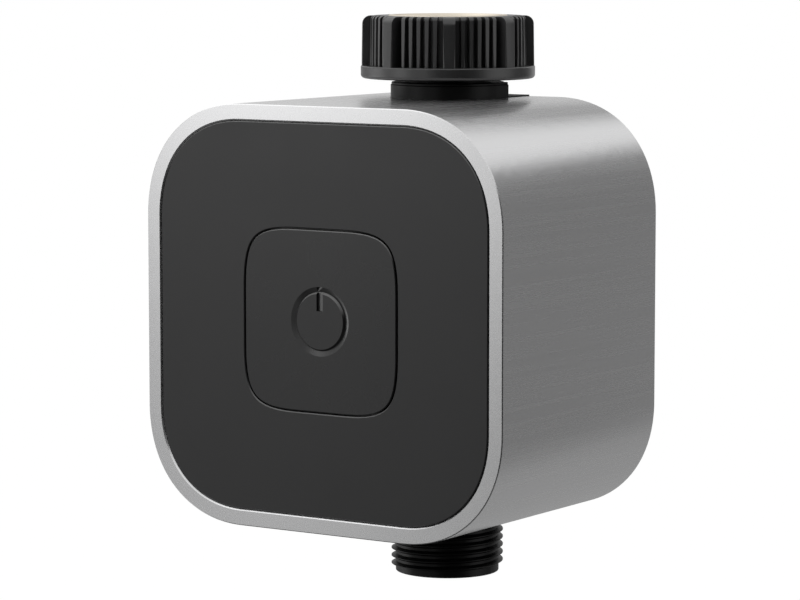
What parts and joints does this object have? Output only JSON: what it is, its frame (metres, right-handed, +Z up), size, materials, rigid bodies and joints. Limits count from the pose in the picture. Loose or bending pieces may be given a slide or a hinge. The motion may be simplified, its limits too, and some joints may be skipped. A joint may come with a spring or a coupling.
{
  "type": "smart irrigation controller",
  "caption": "Tap-mounted smart watering controller: square metal sleeve with soft corners, dark front panel with a square push button, ribbed swivel nut above, male hose thread below.",
  "frame": {"origin": "pipe axis at the upper face of the inlet washer, inside the swivel nut's thread", "axes": "+Z up along the pipe axis out of the inlet, +X to the right as seen from the front, +Y towards the rear cover"},
  "size_m": [0.096, 0.0771, 0.1313],
  "materials": {
    "anodised_aluminium": "fine satin, anodised",
    "panel_black": "matte",
    "button_black": "matte",
    "core_black": "fine texture",
    "cover_black": "fine texture",
    "valve_black": "satin",
    "nut_black": "satin",
    "brass": "machined",
    "seal_rubber": "matte",
    "silicone": "matte",
    "zinc_steel": "zinc plated",
    "stainless_steel": "bright",
    "nickel_steel": "nickel plated",
    "disc_plastic": "natural",
    "copper": "enamelled copper wire",
    "magnet_nickel": "nickel plated",
    "board_laminate": "solder mask",
    "switch_plastic": "moulded",
    "stem_plastic": "moulded",
    "radio_metal": "tinned",
    "capacitor_sleeve": "shrink sleeve",
    "connector_plastic": "natural",
    "lead_insulation": "satin",
    "cell_label": "printed film, plain"
  },
  "bodies": {
    "root": {"sleeve": "anodised_aluminium", "front_panel": "panel_black", "panel_gasket": "seal_rubber", "button_mat": "silicone", "inner_core": "core_black", "core_screws": "zinc_steel", "rear_frame": "core_black", "cell_left": "cell_label", "cell_right": "cell_label", "contact_springs": "nickel_steel", "contact_plates": "nickel_steel", "valve_body": "valve_black", "nut_retaining_ring": "brass", "inlet_washer": "seal_rubber", "inlet_filter": "stainless_steel", "diaphragm": "seal_rubber", "diaphragm_spring": "stainless_steel", "valve_bonnet": "valve_black", "bonnet_o_ring": "seal_rubber", "bonnet_screws": "zinc_steel", "core_tube": "stainless_steel", "fixed_core": "stainless_steel", "armature_spring": "stainless_steel", "coil_bobbin": "disc_plastic", "coil_winding": "copper", "solenoid_yoke": "zinc_steel", "latching_magnet": "magnet_nickel", "circuit_board": "board_laminate", "board_screws": "zinc_steel", "button_switch": "switch_plastic", "radio_module": "radio_metal", "storage_capacitors": "capacitor_sleeve", "board_chips": "switch_plastic", "coil_connector": "connector_plastic", "battery_connector": "connector_plastic", "coil_leads": "lead_insulation", "battery_leads": "lead_insulation"},
    "nut": {"swivel_nut": "nut_black", "nut_insert": "brass"},
    "push_button": {"button": "button_black"},
    "stem": {"switch_stem": "stem_plastic"},
    "plunger": {"armature": "stainless_steel", "armature_seal": "seal_rubber"},
    "disc": {"diaphragm_disc": "disc_plastic"},
    "cover": {"rear_cover": "cover_black", "rear_cover_gasket": "seal_rubber", "rear_cover_screws": "zinc_steel"}
  },
  "joints": [
    {"name": "nut_spin", "type": "hinge", "parent": "root", "child": "nut", "pos_m": [0, 0, 0], "axis": [0, 0, 1], "continuous": true},
    {"name": "button_press", "type": "slide", "parent": "root", "child": "push_button", "axis": [0, 1, 0], "range_m": [0, 0.00045], "stiffness_N_per_m": 4000, "springref_m": -0.0003, "deforming": ["button_mat"]},
    {"name": "stem_press", "type": "slide", "parent": "root", "child": "stem", "axis": [0, 1, 0], "range_m": [0, 0.00045]},
    {"name": "armature_pull", "type": "slide", "parent": "root", "child": "plunger", "axis": [0, -1, 0], "range_m": [0, 0.0009], "stiffness_N_per_m": 600, "springref_m": -0.001, "deforming": ["armature_spring"]},
    {"name": "valve_opening", "type": "slide", "parent": "root", "child": "disc", "axis": [0, -1, 0], "range_m": [0, 0.0022], "deforming": ["diaphragm", "diaphragm_spring"]},
    {"name": "cover_off", "type": "slide", "parent": "root", "child": "cover", "axis": [0, 1, 0], "range_m": [0, 0.03]}
  ],
  "couplings": [
    {"joint": "stem_press", "follows": "button_press", "ratio": 1},
    {"joint": "valve_opening", "follows": "armature_pull", "ratio": 2.444}
  ]
}
